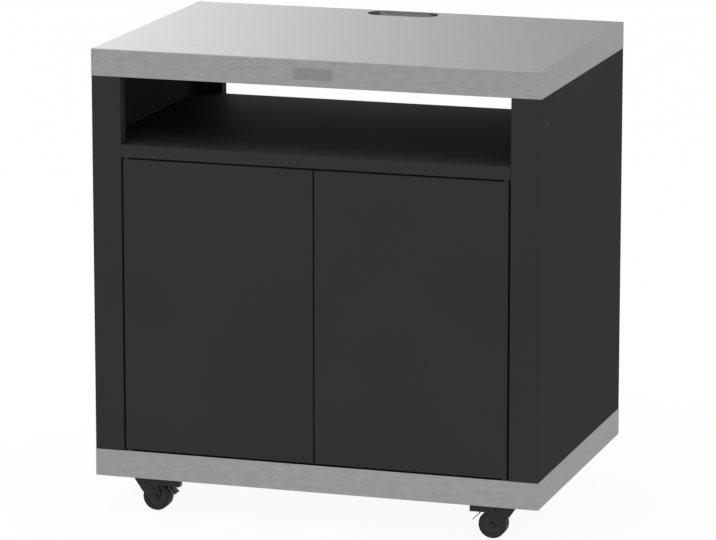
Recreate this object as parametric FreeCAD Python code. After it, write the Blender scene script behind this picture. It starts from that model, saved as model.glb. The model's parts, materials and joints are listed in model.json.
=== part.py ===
"""Grill cart with a worktop, an open niche, a storage compartment with two doors, and four casters.

Millimetres. The origin is on the floor below the middle of the cart. X runs to the right along the
width, Y to the rear along the depth, and Z upwards, so the doors face -Y.
"""
import FreeCAD, Part

import math
import os

Vector = FreeCAD.Vector
os.makedirs("parts", exist_ok=True)

# Whole cart
cart_width = 850.0
cart_depth = 590.0
cart_height = 875.0
touch_gap = 0.3

# Stainless worktop, a folded pan
worktop_sheet = 1.5
worktop_skirt = 50.0
worktop_return = 20.0
worktop_bend = 2.0
slot_length = 139.0
slot_width = 57.0
slot_rear_rim = 6.0
slot_collar_depth = 12.0
slot_collar_wall = 1.2
plate_recess_length = 77.0
plate_recess_width = 26.0
plate_recess_depth = 0.7
plate_recess_below_top = 27.0

# Hat sections under the worktop
top_hat_length = 760.0
top_hat_crown = 50.0
top_hat_flange = 15.0
top_hat_depth = 20.0
top_hat_sheet = 1.2
top_hat_front_y = -120.0
top_hat_rear_y = 100.0

# Black side panels with their stiles
panel_sheet = 1.2
panel_bend = 1.6
stile_width = 56.0
stile_return = 25.0
panel_flange = 20.0
panel_flange_inset = 60.0
plug_hole_radius = 3.4
plug_from_front = 44.0
plug_below_top = 102.0

# Shelf, the floor of the niche
shelf_top = 700.0
shelf_sheet = 1.2
shelf_bend = 1.6
shelf_lip = 24.0
shelf_lip_return = 20.0
shelf_rear_setback = 21.0
shelf_rear_flange = 24.0
shelf_side_flange = 15.0
shelf_wing_overlap = 1.0

# Back panel of the storage compartment
back_sheet = 1.0
back_flange = 15.0
back_top_drop = 2.0

# Stainless base, a folded pan
base_height = 51.0
base_sheet = 1.5
base_return = 20.0
base_bend = 2.0

# Channels under the base plate that carry the casters
rail_width = 80.0
rail_sheet = 2.0
rail_lip = 15.0

# Doors, folded pans without handles
door_sheet = 1.2
door_depth = 18.0
door_return = 15.0
door_bend = 1.4
door_side_gap = 3.5
door_centre_gap = 2.5
door_bottom_gap = 3.0
door_top_gap = 2.8

# Hat sections inside the doors
door_hat_length = 460.0
door_hat_crown = 40.0
door_hat_flange = 14.0
door_hat_depth = 12.0
door_hat_sheet = 1.0

# Pivots at the doors' outer corners
pivot_from_edge = 6.0
pivot_from_front = 6.0
pivot_radius = 3.0
pivot_depth = 10.0
pivot_collar_radius = 5.0
bush_reach = 6.0
bush_length = 12.0
running_fit = 0.05

# Push-to-open latches under the shelf
latch_x = 21.0
latch_below_shelf = 35.0
latch_body_width = 16.0
latch_body_height = 16.0
latch_body_length = 60.0
latch_body_setback = 11.0
plunger_radius = 4.0
plunger_bore_depth = 34.0
plunger_travel = 2.5
strike_width = 26.0
strike_height = 13.0
strike_sheet = 1.0
bracket_sheet = 1.2
bracket_half_width = 36.0
bracket_foot = 22.0
bracket_bend = 1.8

# Casters
caster_height = 73.0
caster_from_side = 79.0
caster_from_end = 62.0
caster_trail = 21.0

# Stem of a caster, which the fork turns on
stem_radius = 5.0
stem_collar_radius = 8.5
stem_collar_height = 4.0
insert_radius = 6.5
insert_tail = 12.0
stem_head_radius = 7.5
stem_head_height = 1.8
swivel_play = 0.06

# Fork of a caster
fork_sheet = 1.8
fork_head_radius = 27.2
fork_head_depth = 8.0
fork_leg_outer_reach = 22.4
fork_leg_knee_out = 5.0
fork_leg_knee_height = 35.2
fork_shoulder_reach = 12.0
fork_shoulder_height = 56.8
fork_crown_reach = 24.5
fork_crown_height = 55.8
fork_boss_reach = 8.5
fork_boss_rise = 4.3
fork_foot_half = 6.8
fork_foot_drop = 5.1
fork_foot_cut = 3.2

# Wheel of a caster
wheel_radius = 26.0
wheel_width = 24.0
tyre_thickness = 6.0
core_flat_width = 5.2
core_proud = 0.5
core_side_play = 0.3
axle_radius = 3.0
axle_play = 0.08
axle_head_radius = 4.5
axle_head_height = 2.8

# Brake of a front caster
pedal_start = 14.6
pedal_reach = 62.0
pedal_top = 59.7
pedal_depth = 10.5
pedal_sheet = 1.5
pedal_corner = 2.5
pedal_skirt_gap = 0.5
pedal_pin_reach = 18.0
pedal_pin_height = 54.0
pedal_pin_radius = 1.6
leaf_sheet = 1.0
leaf_width = 26.0
leaf_start = 27.0
leaf_bend_reach = 40.0
leaf_knee_reach = 46.3
leaf_knee_height = 44.8
leaf_tip_reach = 57.6
leaf_tip_height = 33.2
leaf_bend = 2.4

# Places that follow from the sizes above
half_width = cart_width / 2
half_depth = cart_depth / 2
front = -half_depth
rear = half_depth
base_bottom = caster_height
base_top = base_bottom + base_height
skirt_bottom = cart_height - worktop_skirt
opening_half = half_width - stile_width
skin_inside = half_width - panel_sheet
shelf_bottom = shelf_top - shelf_sheet
lip_bottom = shelf_top - shelf_lip
shelf_rear = rear - shelf_rear_setback
door_outer = opening_half - door_side_gap
door_inner = door_centre_gap / 2
door_bottom = base_top + door_bottom_gap
door_top = lip_bottom - door_top_gap
door_back = front + door_depth
pivot_x = door_outer - pivot_from_edge
pivot_y = front + pivot_from_front
latch_z = shelf_top - latch_below_shelf
latch_front = door_back + latch_body_setback
strike_face = door_back + strike_sheet
caster_x = half_width - caster_from_side
caster_y = half_depth - caster_from_end
collar_bottom = caster_height - stem_collar_height
head_top = collar_bottom - touch_gap
head_bottom = head_top - fork_head_depth
core_half = wheel_width / 2 + core_proud
core_radius = wheel_radius - tyre_thickness
core_flats = round(math.tau * core_radius / core_flat_width)
leg_inside = core_half + core_side_play
leg_outside = leg_inside + fork_sheet
pedal_inside = leg_outside + pedal_skirt_gap
pedal_outside = pedal_inside + pedal_sheet


def block(low, high):
    """Box between two opposite corners."""
    size = [b - a for a, b in zip(low, high)]
    return Part.makeBox(size[0], size[1], size[2], Vector(*low))


def rod(radius, start, end):
    """Cylinder from one point to another."""
    way = Vector(*end) - Vector(*start)
    return Part.makeCylinder(radius, way.Length, Vector(*start), way)


def prism(sides, radius, x, y, low, height):
    """Upright prism with equal sides, given by the radius of its flats."""
    corner = radius / math.cos(math.pi / sides)
    turns = [math.tau * i / sides for i in range(sides)]
    points = [Vector(x + corner * math.cos(t), y + corner * math.sin(t), low) for t in turns]
    return Part.Face(Part.makePolygon(points + points[:1])).extrude(Vector(0, 0, height))


def hexagon(radius, x, y, low, height):
    """Upright hexagonal prism, given by the radius of its flats."""
    return prism(6, radius, x, y, low, height)


def rounded_wire(points, radii):
    """Closed wire through the points, with an arc of the given radius at each of them."""
    edges = []
    starts = []
    ends = []
    count = len(points)
    for i in range(count):
        corner = points[i]
        back = (points[i - 1] - corner).normalize()
        ahead = (points[(i + 1) % count] - corner).normalize()
        if radii[i] <= 0:
            starts.append(corner)
            ends.append(corner)
            continue
        half_angle = back.getAngle(ahead) / 2
        run = radii[i] / math.tan(half_angle)
        middle = (back + ahead).normalize()
        centre = corner + middle * (radii[i] / math.sin(half_angle))
        starts.append(corner + back * run)
        ends.append(corner + ahead * run)
        edges.append(Part.Arc(starts[i], centre - middle * radii[i], ends[i]).toShape())
    for i in range(count):
        a = ends[i]
        b = starts[(i + 1) % count]
        if (b - a).Length > 1e-6:
            edges.append(Part.LineSegment(a, b).toShape())
    return Part.Wire(Part.__sortEdges__(edges))


def folded_face(path, sheet, bend, to_space):
    """Section of a folded sheet with the metal on the right of the path and its folds rounded outside."""
    count = len(path)
    ways = []
    for a, b in zip(path, path[1:]):
        length = math.hypot(b[0] - a[0], b[1] - a[1])
        ways.append(((b[0] - a[0]) / length, (b[1] - a[1]) / length))
    inner = []
    outer_radii = [0.0] * count
    inner_radii = [0.0] * count
    for i, point in enumerate(path):
        before = ways[max(i - 1, 0)]
        after = ways[min(i, count - 2)]
        normal_a = (before[1], -before[0])
        normal_b = (after[1], -after[0])
        share = 1 + normal_a[0] * normal_b[0] + normal_a[1] * normal_b[1]
        shift = ((normal_a[0] + normal_b[0]) / share, (normal_a[1] + normal_b[1]) / share)
        inner.append((point[0] + sheet * shift[0], point[1] + sheet * shift[1]))
        if 0 < i < count - 1:
            turn = before[0] * after[1] - before[1] * after[0]
            outer_radii[i] = bend if turn < 0 else 0.0
            inner_radii[i] = 0.0 if turn < 0 else bend
    points = [to_space(*p) for p in path + inner[::-1]]
    return Part.Face(rounded_wire(points, outer_radii + inner_radii[::-1]))


def union(shapes):
    """One solid from shapes that share faces or volume."""
    return shapes[0].fuse(shapes[1:]).removeSplitter()


def mirrored(shape):
    """The same piece on the other side of the cart."""
    return shape.mirror(Vector(0, 0, 0), Vector(1, 0, 0))


def save(name, shape):
    """Writes one piece, or one group of alike pieces."""
    shape.exportStep("parts/" + name + ".step")


def edges_where(shape, test):
    """The straight edges whose two ends both pass the test."""
    found = []
    for edge in shape.Edges:
        ends = [v.Point for v in edge.Vertexes]
        if len(ends) == 2 and all(test(p) for p in ends):
            found.append(edge)
    return found


def steel_pan(low, high, sheet, lip, bend):
    """Pan that is open below, with skirts and a lip turned inwards along their lower edge."""
    pan = block(low, high)
    upper = edges_where(pan, lambda p: abs(p.z - high[2]) < 1e-6)
    pan = pan.makeFillet(min(bend, sheet * 2), upper)
    inside = block([low[0] + sheet, low[1] + sheet, low[2] + sheet],
                   [high[0] - sheet, high[1] - sheet, high[2] - sheet])
    mouth = block([low[0] + lip, low[1] + lip, low[2]],
                  [high[0] - lip, high[1] - lip, low[2] + sheet])
    return pan.cut(inside.fuse(mouth))


def oblong(length, width, x, y, z, height):
    """Upright prism with round ends, long along X."""
    radius = width / 2
    reach = length / 2 - radius
    corners = [Vector(x - reach, y - radius, z), Vector(x + reach, y - radius, z),
               Vector(x + reach, y + radius, z), Vector(x - reach, y + radius, z)]
    edges = [Part.LineSegment(corners[0], corners[1]).toShape(),
             Part.Arc(corners[1], Vector(x + reach + radius, y, z), corners[2]).toShape(),
             Part.LineSegment(corners[2], corners[3]).toShape(),
             Part.Arc(corners[3], Vector(x - reach - radius, y, z), corners[0]).toShape()]
    return Part.Face(Part.Wire(edges)).extrude(Vector(0, 0, height))


def worktop():
    """Stainless pan with a recess for a nameplate and a cable slot whose edge is turned down as a collar."""
    pan = steel_pan([-half_width, front, skirt_bottom], [half_width, rear, cart_height],
                    worktop_sheet, worktop_return, worktop_bend)
    slot_y = rear - slot_rear_rim - slot_width / 2
    collar_bottom = cart_height - slot_collar_depth
    collar = oblong(slot_length + 2 * slot_collar_wall, slot_width + 2 * slot_collar_wall,
                    0, slot_y, collar_bottom, slot_collar_depth - worktop_sheet / 2)
    slot = oblong(slot_length, slot_width, 0, slot_y, collar_bottom, slot_collar_depth)
    plate_middle = cart_height - plate_recess_below_top
    half_plate = plate_recess_length / 2
    recess = block([-half_plate, front, plate_middle - plate_recess_width / 2],
                   [half_plate, front + plate_recess_depth, plate_middle + plate_recess_width / 2])
    return union([pan, collar]).cut(slot).cut(recess)


def hat_section(length, crown, flange, depth, sheet, to_space, along):
    """Hat section: two flanges on one plane and a crown that stands off it by the depth."""
    side = crown / 2
    path = [(-side - flange, 0), (-side, 0), (-side, -depth), (side, -depth), (side, 0), (side + flange, 0)]
    face = folded_face(path, sheet, 0.0, to_space)
    return face.extrude(along * length)


def worktop_stiffener(y):
    """Hat section under the worktop, along its width."""
    level = cart_height - worktop_sheet

    def to_space(across, up):
        return Vector(-top_hat_length / 2, y + across, level + up)

    return hat_section(top_hat_length, top_hat_crown, top_hat_flange, top_hat_depth, top_hat_sheet,
                       to_space, Vector(1, 0, 0))


def left_side_panel():
    """Side skin that is folded round into two stiles, with flanges above and below and a hole for a plug."""
    path = [(-opening_half, front + stile_return), (-opening_half, front), (-half_width, front),
            (-half_width, rear), (-opening_half, rear), (-opening_half, rear - stile_return)]
    face = folded_face(path, panel_sheet, panel_bend, lambda x, y: Vector(x, y, base_top))
    skin = face.extrude(Vector(0, 0, skirt_bottom - base_top))
    flanges = []
    for low in (base_top, skirt_bottom - panel_sheet):
        flanges.append(block([-skin_inside, front + panel_flange_inset, low],
                             [panel_flange - skin_inside, rear - panel_flange_inset, low + panel_sheet]))
    plug_y = front + plug_from_front
    plug_z = cart_height - plug_below_top
    hole = rod(plug_hole_radius, [-half_width, plug_y, plug_z], [-skin_inside, plug_y, plug_z])
    return union([skin] + flanges).cut(hole)


def shelf():
    """Niche floor with a front lip flush with the stiles, wings round the stiles and folded edges."""
    middle = opening_half - touch_gap
    lip_path = [(front + shelf_lip_return, lip_bottom), (front, lip_bottom), (front, shelf_top),
                (shelf_rear, shelf_top), (shelf_rear, shelf_top - shelf_rear_flange)]
    face = folded_face(lip_path, shelf_sheet, shelf_bend, lambda y, z: Vector(-middle, y, z))
    body = face.extrude(Vector(2 * middle, 0, 0))
    pieces = [body]
    wing_front = front + stile_return + touch_gap
    for side in (-1, 1):
        x_edge = side * skin_inside
        x_fold = side * (skin_inside - shelf_sheet)
        x_root = side * (middle - shelf_wing_overlap)
        pieces.append(block([min(x_edge, x_root), wing_front, shelf_bottom],
                            [max(x_edge, x_root), -wing_front, shelf_top]))
        pieces.append(block([min(x_edge, x_fold), wing_front, shelf_top - shelf_side_flange],
                            [max(x_edge, x_fold), -wing_front, shelf_top]))
    return union(pieces)


def back_panel():
    """Rear wall between the rear stiles, folded to the rear at its sides and at its foot."""
    panel = block([-opening_half, shelf_rear, base_top],
                  [opening_half, shelf_rear + back_flange, shelf_top - back_top_drop])
    hollow = block([back_sheet - opening_half, shelf_rear + back_sheet, base_top + back_sheet],
                   [opening_half - back_sheet, shelf_rear + back_flange, shelf_top])
    return panel.cut(hollow)


def base():
    """Stainless pan under the cabinet, whose top is the floor of the storage compartment."""
    return steel_pan([-half_width, front, base_bottom], [half_width, rear, base_top],
                     base_sheet, base_return, base_bend)


def caster_rail(y):
    """Lipped channel under the base plate, with the hexagon holes of two insert nuts in its web."""
    side = rail_width / 2
    top = base_top - base_sheet
    path = [(rail_lip - side, top), (-side, top), (-side, base_bottom),
            (side, base_bottom), (side, top), (side - rail_lip, top)]
    path = path[::-1]
    reach = half_width - base_return
    face = folded_face(path, rail_sheet, 0.0, lambda v, z: Vector(-reach, y + v, z))
    rail = face.extrude(Vector(2 * reach, 0, 0))
    for x in (-caster_x, caster_x):
        rail = rail.cut(hexagon(insert_radius, x, y, base_bottom, rail_sheet))
    return rail


def left_door():
    """Door pan with edges folded back and inwards, and holes for the pivot bushes."""
    pan = block([-door_outer, front, door_bottom], [-door_inner, door_back, door_top])
    face_edges = edges_where(pan, lambda p: abs(p.y - front) < 1e-6)
    pan = pan.makeFillet(min(door_bend, door_sheet * 2), face_edges)
    hollow = block([door_sheet - door_outer, front + door_sheet, door_bottom + door_sheet],
                   [-door_inner - door_sheet, door_back - door_sheet, door_top - door_sheet])
    mouth = block([door_return - door_outer, door_back - door_sheet, door_bottom + door_return],
                  [-door_inner - door_return, door_back, door_top - door_return])
    pan = pan.cut(hollow.fuse(mouth))
    hole_radius = pivot_radius + touch_gap
    for low in (door_bottom, door_top - door_sheet):
        pan = pan.cut(rod(hole_radius, [-pivot_x, pivot_y, low], [-pivot_x, pivot_y, low + door_sheet]))
    return pan


def left_door_stiffener():
    """Upright hat section on the inside of the door skin."""
    middle_x = -(door_outer + door_inner) / 2
    low = (door_bottom + door_top - door_hat_length) / 2
    skin = front + door_sheet

    def to_space(across, off):
        return Vector(middle_x + across, skin - off, low)

    return hat_section(door_hat_length, door_hat_crown, door_hat_flange, door_hat_depth, door_hat_sheet,
                       to_space, Vector(0, 0, 1))


def left_door_bushes():
    """Plastic blocks in the door's outer corners, bored for the pins."""
    blocks = []
    for low in (door_bottom + door_sheet, door_top - door_sheet - bush_length):
        body = block([door_sheet - door_outer, front + door_sheet, low],
                     [bush_reach - pivot_x, pivot_y + bush_reach, low + bush_length])
        blocks.append(body.cut(rod(pivot_radius + running_fit, [-pivot_x, pivot_y, low],
                                   [-pivot_x, pivot_y, low + bush_length])))
    return Part.makeCompound(blocks)


def door_pivot_pins():
    """Welded pins with a hexagon foot that keeps the gap: the doors stand on the lower ones' feet."""
    pins = []
    for x in (-pivot_x, pivot_x):
        low = rod(pivot_radius, [x, pivot_y, base_top], [x, pivot_y, door_bottom + pivot_depth])
        low_foot = hexagon(pivot_collar_radius, x, pivot_y, base_top, door_bottom_gap)
        high = rod(pivot_radius, [x, pivot_y, door_top - pivot_depth], [x, pivot_y, lip_bottom])
        high_foot = hexagon(pivot_collar_radius, x, pivot_y, door_top + touch_gap, door_top_gap - touch_gap)
        pins += [union([low, low_foot]), union([high, high_foot])]
    return Part.makeCompound(pins)


def latch_bracket():
    """Folded bracket under the shelf that both latch bodies hang from."""
    level = latch_z + latch_body_height / 2
    back = latch_front + latch_body_length
    path = [(latch_front, level), (back, level), (back, shelf_bottom - bracket_sheet),
            (back + bracket_foot, shelf_bottom - bracket_sheet)]
    face = folded_face(path[::-1], bracket_sheet, bracket_bend,
                       lambda y, z: Vector(-bracket_half_width, y, z))
    return face.extrude(Vector(2 * bracket_half_width, 0, 0))


def left_latch_body():
    """Latch housing with a blind bore that is open towards the door."""
    half = latch_body_width / 2
    body = block([-latch_x - half, latch_front, latch_z - latch_body_height / 2],
                 [half - latch_x, latch_front + latch_body_length, latch_z + latch_body_height / 2])
    return body.cut(rod(plunger_radius + running_fit, [-latch_x, latch_front, latch_z],
                        [-latch_x, latch_front + plunger_bore_depth, latch_z]))


def left_latch_plunger():
    """Plunger whose tip faces the strike plate and whose tail has room for its travel."""
    tip = strike_face + touch_gap
    tail = latch_front + plunger_bore_depth - plunger_travel - touch_gap
    return rod(plunger_radius, [-latch_x, tip, latch_z], [-latch_x, tail, latch_z])


def left_strike_plate():
    """Steel plate on the door's rear flange, opposite the plunger."""
    half = strike_width / 2
    low = latch_z - strike_height / 2
    x_inner = min(half - latch_x, -door_inner)
    return block([-latch_x - half, door_back, low], [x_inner, strike_face, low + strike_height])


def caster_stem():
    """Bolt that the fork turns on, with a hexagon collar and the insert nut that holds it in the channel."""
    foot = head_bottom - touch_gap - stem_head_height
    return union([rod(stem_radius, [0, 0, foot], [0, 0, collar_bottom]),
                  hexagon(stem_collar_radius, 0, 0, collar_bottom, stem_collar_height),
                  hexagon(insert_radius, 0, 0, base_bottom, rail_sheet + insert_tail),
                  hexagon(stem_head_radius, 0, 0, foot, stem_head_height)])


def fork():
    """Stamped fork: a swivel head with round ends, and two legs that lean back to the axle."""
    head = rod(fork_head_radius, [0, 0, head_bottom], [0, 0, head_top])
    head = head.common(block([-fork_head_radius, -leg_outside, head_bottom],
                             [fork_head_radius, leg_outside, head_top]))
    axle_z = wheel_radius
    foot_z = axle_z - fork_foot_drop
    outline = [(-fork_leg_outer_reach, head_bottom), (-fork_leg_knee_out, fork_leg_knee_height),
               (caster_trail - fork_foot_half, foot_z),
               (caster_trail + fork_foot_half - fork_foot_cut, foot_z),
               (caster_trail + fork_foot_half, foot_z + fork_foot_cut),
               (caster_trail + fork_boss_reach, axle_z + fork_boss_rise),
               (fork_crown_reach, fork_crown_height), (fork_shoulder_reach, fork_shoulder_height),
               (fork_shoulder_reach, head_bottom)]
    pieces = [head]
    for y in (-leg_outside, leg_inside):
        corners = [Vector(u, y, z) for u, z in outline]
        pieces.append(Part.Face(Part.makePolygon(corners + corners[:1])).extrude(Vector(0, fork_sheet, 0)))
    body = union(pieces)
    body = body.cut(rod(stem_radius + swivel_play, [0, 0, head_bottom], [0, 0, head_top]))
    return body.cut(rod(axle_radius, [caster_trail, -leg_outside, axle_z],
                        [caster_trail, leg_outside, axle_z]))


def braked_fork():
    """Fork of a front caster, with the holes for the pedal's pin."""
    hole_radius = pedal_pin_radius + running_fit
    return fork().cut(rod(hole_radius, [pedal_pin_reach, -leg_outside, pedal_pin_height],
                          [pedal_pin_reach, leg_outside, pedal_pin_height]))


def axle():
    """Bolt through the legs and the hub, with its head and its nut outside the legs."""
    z = wheel_radius
    body = rod(axle_radius, [caster_trail, -leg_outside, z], [caster_trail, leg_outside, z])
    ends = []
    for low in (leg_outside, -leg_outside - axle_head_height):
        end = hexagon(axle_head_radius, 0, 0, 0, axle_head_height)
        end.rotate(Vector(0, 0, 0), Vector(1, 0, 0), -90)
        end.translate(Vector(caster_trail, low, z))
        ends.append(end)
    return union([body] + ends)


def on_axle(body):
    """Body made about the Z axis, laid on the wheel's axle."""
    body.rotate(Vector(0, 0, 0), Vector(1, 0, 0), 90)
    body.translate(Vector(caster_trail, 0, wheel_radius))
    return body


def wheel_tyre():
    """Tread ring, kept from slipping by the flats of the core."""
    half = wheel_width / 2
    ring = rod(wheel_radius, [0, 0, -half], [0, 0, half])
    return on_axle(ring.cut(prism(core_flats, core_radius, 0, 0, -half, wheel_width)))


def wheel_core():
    """Plastic core with flats under the tread and the axle's bore, a little wider than the tread."""
    core = prism(core_flats, core_radius, 0, 0, -core_half, 2 * core_half)
    return on_axle(core.cut(rod(axle_radius + axle_play, [0, 0, -core_half], [0, 0, core_half])))


def brake_pedal():
    """Pressed pedal riveted to its pin: a channel over the fork's legs with a rounded free end."""
    low = pedal_top - pedal_depth

    def outline(half, reach, corner, z):
        corners = [Vector(pedal_start, -half, z), Vector(reach, -half, z),
                   Vector(reach, half, z), Vector(pedal_start, half, z)]
        return Part.Face(rounded_wire(corners, [0, corner, corner, 0]))

    body = outline(pedal_outside, pedal_reach, pedal_corner, low).extrude(Vector(0, 0, pedal_depth))
    hollow = outline(pedal_inside, pedal_reach - pedal_sheet, pedal_corner - pedal_sheet, low)
    body = body.cut(hollow.extrude(Vector(0, 0, pedal_depth - pedal_sheet)))
    return union([body, rod(pedal_pin_radius, [pedal_pin_reach, -pedal_inside, pedal_pin_height],
                            [pedal_pin_reach, pedal_inside, pedal_pin_height])])


def brake_leaf():
    """Spring strip under the pedal whose free end bears on the tread when the pedal is down."""
    seat = pedal_top - pedal_sheet
    path = [(leaf_start, seat), (leaf_bend_reach, seat), (leaf_knee_reach, leaf_knee_height),
            (leaf_tip_reach, leaf_tip_height)]
    face = folded_face(path, leaf_sheet, leaf_bend, lambda u, z: Vector(u, -leaf_width / 2, z))
    return face.extrude(Vector(0, leaf_width, 0))


def placed(shape, x, y):
    """Caster piece moved to its corner, with the wheel trailing towards the middle of the cart."""
    piece = shape.copy()
    if x > 0:
        piece.rotate(Vector(0, 0, 0), Vector(0, 0, 1), 180)
    piece.translate(Vector(x, y, 0))
    return piece


def save_casters():
    """The four casters, with a brake on the two front ones."""
    corners = {"front_left": (-caster_x, -caster_y), "front_right": (caster_x, -caster_y),
               "rear_left": (-caster_x, caster_y), "rear_right": (caster_x, caster_y)}
    pieces = {"caster_stem": caster_stem(), "caster_axle": axle(), "wheel_core": wheel_core(),
              "wheel_tyre": wheel_tyre(), "caster_fork": fork()}
    brake = {"caster_fork": braked_fork(), "brake_pedal": brake_pedal(), "brake_leaf": brake_leaf()}
    for corner, (x, y) in corners.items():
        chosen = {**pieces, **brake} if y < 0 else pieces
        for name, shape in chosen.items():
            save(corner + "_" + name, placed(shape, x, y))


def save_cabinet():
    """Worktop, panels, shelf, back, base and rails."""
    save("worktop", worktop())
    save("worktop_front_stiffener", worktop_stiffener(top_hat_front_y))
    save("worktop_rear_stiffener", worktop_stiffener(top_hat_rear_y))
    side = left_side_panel()
    save("left_side_panel", side)
    save("right_side_panel", mirrored(side))
    save("shelf", shelf())
    save("back_panel", back_panel())
    save("base", base())
    save("front_caster_rail", caster_rail(-caster_y))
    save("rear_caster_rail", caster_rail(caster_y))


def save_doors():
    """Doors with their pivots and latches."""
    pairs = {"door": left_door(), "door_stiffener": left_door_stiffener(), "door_bushes": left_door_bushes(),
             "latch_body": left_latch_body(), "latch_plunger": left_latch_plunger(),
             "strike_plate": left_strike_plate()}
    for name, shape in pairs.items():
        save("left_" + name, shape)
        save("right_" + name, mirrored(shape))
    save("door_pivot_pins", door_pivot_pins())
    save("latch_bracket", latch_bracket())


save_cabinet()
save_doors()
save_casters()
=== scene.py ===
"""Looks of the grill cart: finishes, small fittings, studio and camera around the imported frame.

Sizes are in the frame's metres, which MM makes from millimetres.
"""
import json
import logging
import math
from dataclasses import dataclass, field
from enum import Enum
from typing import Any, Dict, Iterable, List, Sequence, Tuple, Union

import bmesh
import bpy
from mathutils import Matrix, Vector


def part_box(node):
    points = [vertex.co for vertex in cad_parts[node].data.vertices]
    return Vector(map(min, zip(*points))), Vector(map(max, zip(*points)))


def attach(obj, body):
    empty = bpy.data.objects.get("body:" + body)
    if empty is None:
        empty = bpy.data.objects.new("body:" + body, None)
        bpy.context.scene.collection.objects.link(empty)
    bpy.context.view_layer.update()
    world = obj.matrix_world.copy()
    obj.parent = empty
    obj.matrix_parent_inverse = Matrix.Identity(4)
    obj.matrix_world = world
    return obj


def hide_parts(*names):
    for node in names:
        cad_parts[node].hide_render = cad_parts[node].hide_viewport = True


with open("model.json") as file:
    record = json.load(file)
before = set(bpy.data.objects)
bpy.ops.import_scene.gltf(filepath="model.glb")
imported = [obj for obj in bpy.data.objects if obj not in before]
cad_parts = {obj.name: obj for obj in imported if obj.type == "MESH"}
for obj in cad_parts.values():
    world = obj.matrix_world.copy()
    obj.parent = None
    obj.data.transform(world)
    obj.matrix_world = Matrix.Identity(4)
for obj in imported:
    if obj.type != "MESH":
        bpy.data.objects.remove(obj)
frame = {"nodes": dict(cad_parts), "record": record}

LOG = logging.getLogger("grill_cart")
Pair = Tuple[float, float]
Triple = Tuple[float, float, float]
Outline = Sequence[Pair]
Mesh = bpy.types.Mesh
Socket = bpy.types.NodeSocket
Work = bmesh.types.BMesh
Ring = List[bmesh.types.BMVert]

MM = 0.001
IN_PLACE = Matrix.Identity(4)
NEUTRAL: Triple = (1.0, 1.0, 1.0)

# Shares of a texture's 0 to 1 that are spread over a range.
WHOLE: Pair = (0.0, 1.0)
WIDE: Pair = (0.25, 0.75)
MIDDLE: Pair = (0.35, 0.65)


def grey(level: float) -> Tuple[float, float, float, float]:
    """Neutral colour as a linear RGBA value."""
    return (level, level, level, 1.0)


class Side(Enum):
    """Left or right half of the cart, with the sign of its X."""

    LEFT = -1
    RIGHT = 1

    @property
    def word(self) -> str:
        """The side as it stands in node names."""
        return self.name.lower()


class Corner(Enum):
    """The four casters, with the signs of their X and Y."""

    FRONT_LEFT = (-1, -1)
    FRONT_RIGHT = (1, -1)
    REAR_LEFT = (-1, 1)
    REAR_RIGHT = (1, 1)

    @property
    def word(self) -> str:
        """The corner as it stands in node names."""
        return self.name.lower()

    @property
    def braked(self) -> bool:
        """Whether this caster has a brake."""
        return self.value[1] < 0

    @property
    def pedal_way(self) -> int:
        """Sign of X towards the free end of the caster's pedal."""
        return -self.value[0]


class Wiring:
    """Node tree with short ways to add nodes and to reckon with their values."""

    def __init__(self, tree: bpy.types.NodeTree) -> None:
        """Keeps the tree that the nodes go into."""
        self.tree = tree

    def add(self, kind: str, **settings: Any) -> bpy.types.Node:
        """Adds a node.

        Args:
            kind: Blender's identifier of the node.
            settings: Attributes to set on it.

        Returns:
            The new node.
        """
        node = self.tree.nodes.new(kind)
        for key, value in settings.items():
            setattr(node, key, value)
        return node

    def join(self, source: Socket, target: Socket) -> None:
        """Links one output to one input."""
        self.tree.links.new(source, target)

    def maths(self, operation: str, first: Socket, second: Union[Socket, float] = 0.0) -> Socket:
        """Result of a reckoning with one or two values.

        Args:
            operation: Blender's name of the operation.
            first: First value.
            second: Second value, where the operation takes one.

        Returns:
            The result.
        """
        node = self.add("ShaderNodeMath", operation=operation)
        self.join(first, node.inputs[0])
        if isinstance(second, (int, float)):
            node.inputs[1].default_value = second
        else:
            self.join(second, node.inputs[1])
        return node.outputs["Value"]

    def times(self, first: Socket, second: Union[Socket, float]) -> Socket:
        """Product of two values."""
        return self.maths("MULTIPLY", first, second)

    def plus(self, first: Socket, second: Union[Socket, float]) -> Socket:
        """Sum of two values."""
        return self.maths("ADD", first, second)

    def blend(self, share: Socket, first: Socket, second: Socket) -> Socket:
        """Shader between two shaders.

        Args:
            share: Share of the second shader.
            first: First shader.
            second: Second shader.

        Returns:
            The shader.
        """
        node = self.add("ShaderNodeMixShader")
        for source, target in zip((share, first, second), node.inputs):
            self.join(source, target)
        return node.outputs[0]

    def shown_white(self) -> Socket:
        """Factor that is 1 on camera, mirror and glass rays.

        Returns:
            The factor.
        """
        rays = self.add("ShaderNodeLightPath").outputs
        seen = self.maths("MAXIMUM", rays["Is Camera Ray"], rays["Is Glossy Ray"])
        return self.maths("MAXIMUM", seen, rays["Is Transmission Ray"])


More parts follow.
